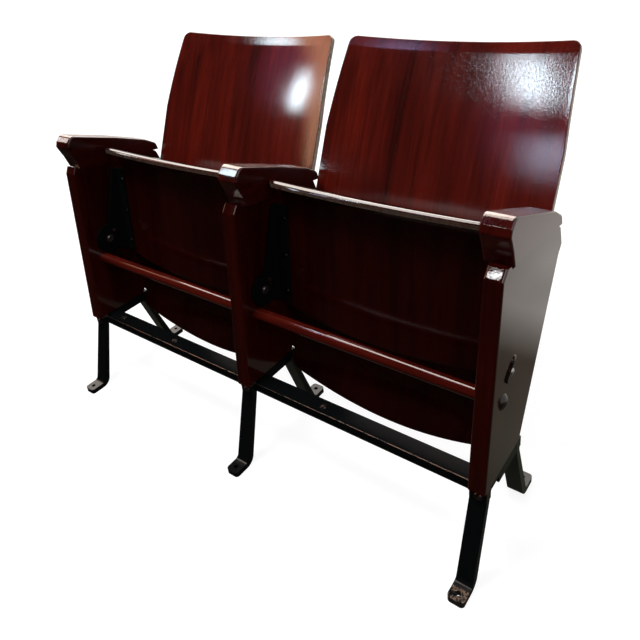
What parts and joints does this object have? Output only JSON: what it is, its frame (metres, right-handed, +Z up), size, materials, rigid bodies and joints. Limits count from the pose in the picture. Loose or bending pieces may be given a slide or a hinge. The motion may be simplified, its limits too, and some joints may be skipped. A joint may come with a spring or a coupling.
{
  "type": "tip-up auditorium seat",
  "caption": "Joined tip-up auditorium seats of varnished wood on black steel legs, with wooden armrests, dished plywood backrests and folding plywood seats",
  "frame": {"origin": "centre of the four corner floor-bolt holes, at floor level", "axes": "+X to the viewer's right along the row, -Y the way the seats face, +Z up; the seats are stored folded up"},
  "size_m": [1.054, 0.5554, 0.7785],
  "materials": {
    "armrest_wood": "high-gloss varnished red-brown wood",
    "backrest_ply": "high-gloss varnished moulded plywood",
    "bar_wood": "varnished round wood",
    "base_bolts": "black painted steel",
    "base_steel": "gloss black painted steel",
    "bracket_steel": "black painted steel",
    "bush_bronze": "turned bronze",
    "dowel_wood": "plain wood",
    "hinge_steel": "black painted steel",
    "leg_steel": "gloss black painted steel, worn at the feet",
    "pin_steel": "turned steel",
    "screw_steel": "steel",
    "seat_ply": "high-gloss varnished moulded plywood",
    "side_hardware": "dark painted steel",
    "standard_wood": "high-gloss varnished red-brown wood"
  },
  "bodies": {
    "frame": {"armrest_dowels": "dowel_wood", "armrest_left": "armrest_wood", "armrest_middle": "armrest_wood", "armrest_right": "armrest_wood", "back_brackets_left": "bracket_steel", "back_brackets_right": "bracket_steel", "back_screws_left": "screw_steel", "back_screws_right": "screw_steel", "backrest_left": "backrest_ply", "backrest_right": "backrest_ply", "bar_bolts": "side_hardware", "bar_stud": "pin_steel", "base_bracket_left": "base_steel", "base_bracket_middle": "base_steel", "base_bracket_right": "base_steel", "base_screws": "screw_steel", "cross_bar_left": "bar_wood", "cross_bar_right": "bar_wood", "front_rail": "base_steel", "hinge_pin_left": "pin_steel", "hinge_pin_middle": "pin_steel", "hinge_pin_right": "pin_steel", "leg_bolts": "base_bolts", "leg_front_left": "leg_steel", "leg_front_middle": "leg_steel", "leg_front_right": "leg_steel", "leg_rear_left": "leg_steel", "leg_rear_middle": "leg_steel", "leg_rear_right": "leg_steel", "pivot_bushes": "bush_bronze", "pivot_plates": "side_hardware", "rail_bolts": "base_bolts", "rail_rivets": "base_bolts", "retaining_rings": "pin_steel", "standard_left": "standard_wood", "standard_middle": "standard_wood", "standard_right": "standard_wood", "stop_studs": "pin_steel", "thrust_washers": "pin_steel"},
    "left_seat": {"left_seat_arm_left": "hinge_steel", "left_seat_arm_right": "hinge_steel", "left_seat_board": "seat_ply", "left_seat_screws": "screw_steel"},
    "right_seat": {"right_seat_arm_left": "hinge_steel", "right_seat_arm_right": "hinge_steel", "right_seat_board": "seat_ply", "right_seat_screws": "screw_steel"}
  },
  "joints": [
    {"name": "left_seat_tip", "type": "hinge", "parent": "frame", "child": "left_seat", "pos_m": [-0.25, 0.0083, 0.36899], "axis": [1, 0, 0], "range_deg": [0, 88]},
    {"name": "right_seat_tip", "type": "hinge", "parent": "frame", "child": "right_seat", "pos_m": [0.25, 0.0083, 0.36899], "axis": [1, 0, 0], "range_deg": [0, 88]}
  ]
}
